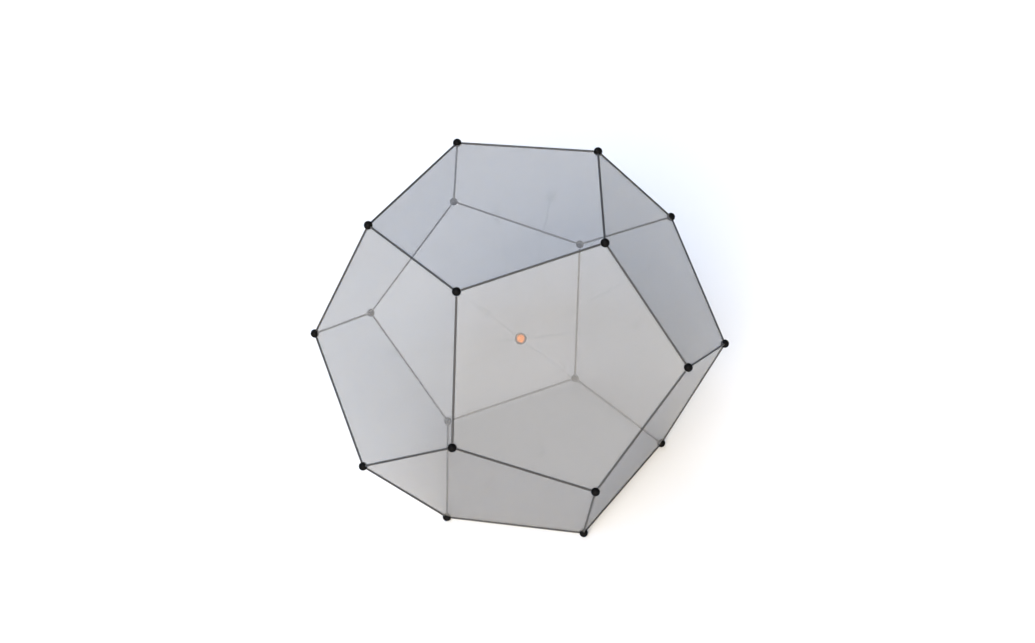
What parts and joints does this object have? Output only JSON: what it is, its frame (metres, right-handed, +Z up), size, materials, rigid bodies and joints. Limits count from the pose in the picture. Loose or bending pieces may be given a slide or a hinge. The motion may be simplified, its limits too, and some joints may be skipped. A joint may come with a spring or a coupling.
{
  "type": "dodecahedron twisty puzzle",
  "caption": "Face-turning dodecahedron puzzle of smoked clear panels framed by thin dark steel bars and small black corner balls, with an orange core.",
  "frame": {"origin": "on the surface that the puzzle stands on, straight below its centre", "axes": "+Z up through the centres of the bottom and top panels; -Y faces the upper side panel named front; +X to its right"},
  "size_m": [0.1606, 0.1686, 0.1371],
  "materials": {
    "panel": "smoked clear polycarbonate sheet, satin, slightly grey",
    "bar": "dark blued steel wire, satin",
    "ball": "black-plated magnet, semi-gloss",
    "core": "orange moulded plastic with a darker rim",
    "arm": "water-clear moulded plastic"
  },
  "bodies": {
    "fixed_frame": {"bar_back_left_left": "bar", "bar_back_left_low_back": "bar", "bar_back_right_low_back": "bar", "bar_front_low_front_left": "bar", "bar_front_right": "bar", "bar_left_low_front_left": "bar", "bar_low_back_bottom": "bar", "bar_low_front_left_bottom": "bar", "bar_low_right_bottom": "bar", "bar_right_low_right": "bar", "bar_with_ball_back_right_back_left": "bar", "bar_with_ball_back_right_low_right": "bar", "bar_with_ball_front_left": "bar", "bar_with_ball_low_right_low_back": "bar", "bar_with_ball_right_back_right": "bar", "core_ball": "core", "core_spider": "arm", "panel_back_left": "panel", "panel_back_right": "panel", "panel_bottom": "panel", "panel_front": "panel", "panel_left": "panel", "panel_low_back": "panel", "panel_low_front_left": "panel", "panel_low_right": "panel", "panel_right": "panel"},
    "top_layer": {"ball_top_back_left_left": "ball", "ball_top_back_right_back_left": "ball", "ball_top_front_left": "ball", "ball_top_front_right": "ball", "ball_top_right_back_right": "ball", "bar_top_back_left": "bar", "bar_top_back_right": "bar", "bar_top_front": "bar", "bar_top_left": "bar", "bar_top_right": "bar", "panel_top": "panel"},
    "low_front_right_layer": {"ball_front_low_front_right_low_front_left": "ball", "ball_front_right_low_front_right": "ball", "ball_low_front_right_low_front_left_bottom": "ball", "ball_low_front_right_low_right_bottom": "ball", "ball_right_low_front_right_low_right": "ball", "bar_front_low_front_right": "bar", "bar_low_front_right_bottom": "bar", "bar_low_front_right_low_front_left": "bar", "bar_low_front_right_low_right": "bar", "bar_right_low_front_right": "bar", "panel_low_front_right": "panel"},
    "low_left_layer": {"ball_back_left_left_low_left": "ball", "ball_back_left_low_back_low_left": "ball", "ball_left_low_left_low_front_left": "ball", "ball_low_back_low_left_bottom": "ball", "ball_low_left_low_front_left_bottom": "ball", "bar_back_left_low_left": "bar", "bar_left_low_left": "bar", "bar_low_back_low_left": "bar", "bar_low_left_bottom": "bar", "bar_low_left_low_front_left": "bar", "panel_low_left": "panel"}
  },
  "joints": [
    {"name": "top_turn", "type": "hinge", "parent": "fixed_frame", "child": "top_layer", "pos_m": [0, 0, 0.06856], "axis": [0, 0, 1], "continuous": true},
    {"name": "low_front_right_turn", "type": "hinge", "parent": "fixed_frame", "child": "low_front_right_layer", "pos_m": [0, 0, 0.06856], "axis": [0.5257, -0.7236, -0.4472], "continuous": true},
    {"name": "low_left_turn", "type": "hinge", "parent": "fixed_frame", "child": "low_left_layer", "pos_m": [0, 0, 0.06856], "axis": [-0.8507, 0.2764, -0.4472], "continuous": true}
  ]
}
